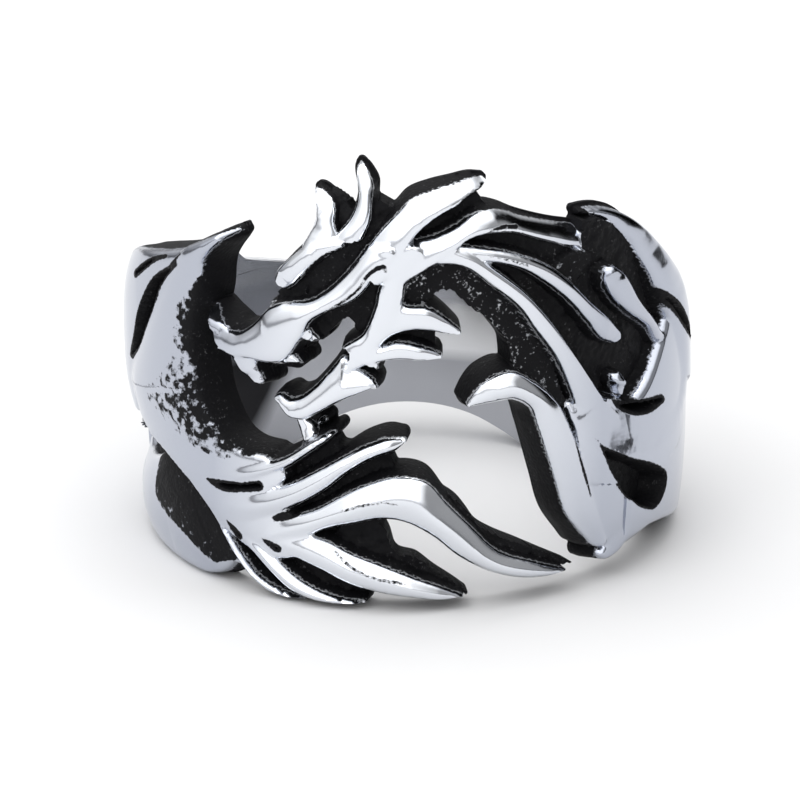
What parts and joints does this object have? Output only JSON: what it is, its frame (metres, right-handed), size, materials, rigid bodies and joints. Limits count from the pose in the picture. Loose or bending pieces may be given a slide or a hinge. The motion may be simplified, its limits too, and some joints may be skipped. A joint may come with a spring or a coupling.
{
  "type": "dragon ring",
  "caption": "Cast steel finger ring whose pierced front is a dragon's head, neck, wings and flames, with dark recesses and a plain band behind.",
  "frame": {"origin": "on the finger's axis, at the height of the surface that the ring rests on", "axes": "+Z is the finger's axis, up as the ring lies; -Y faces the viewer and carries the dragon; +X is the viewer's right"},
  "size_m": [0.024, 0.0239, 0.0191],
  "materials": {
    "steel": "polished tops with blackened recesses"
  },
  "bodies": {
    "root": {"dragon_ring": "steel"}
  },
  "joints": []
}
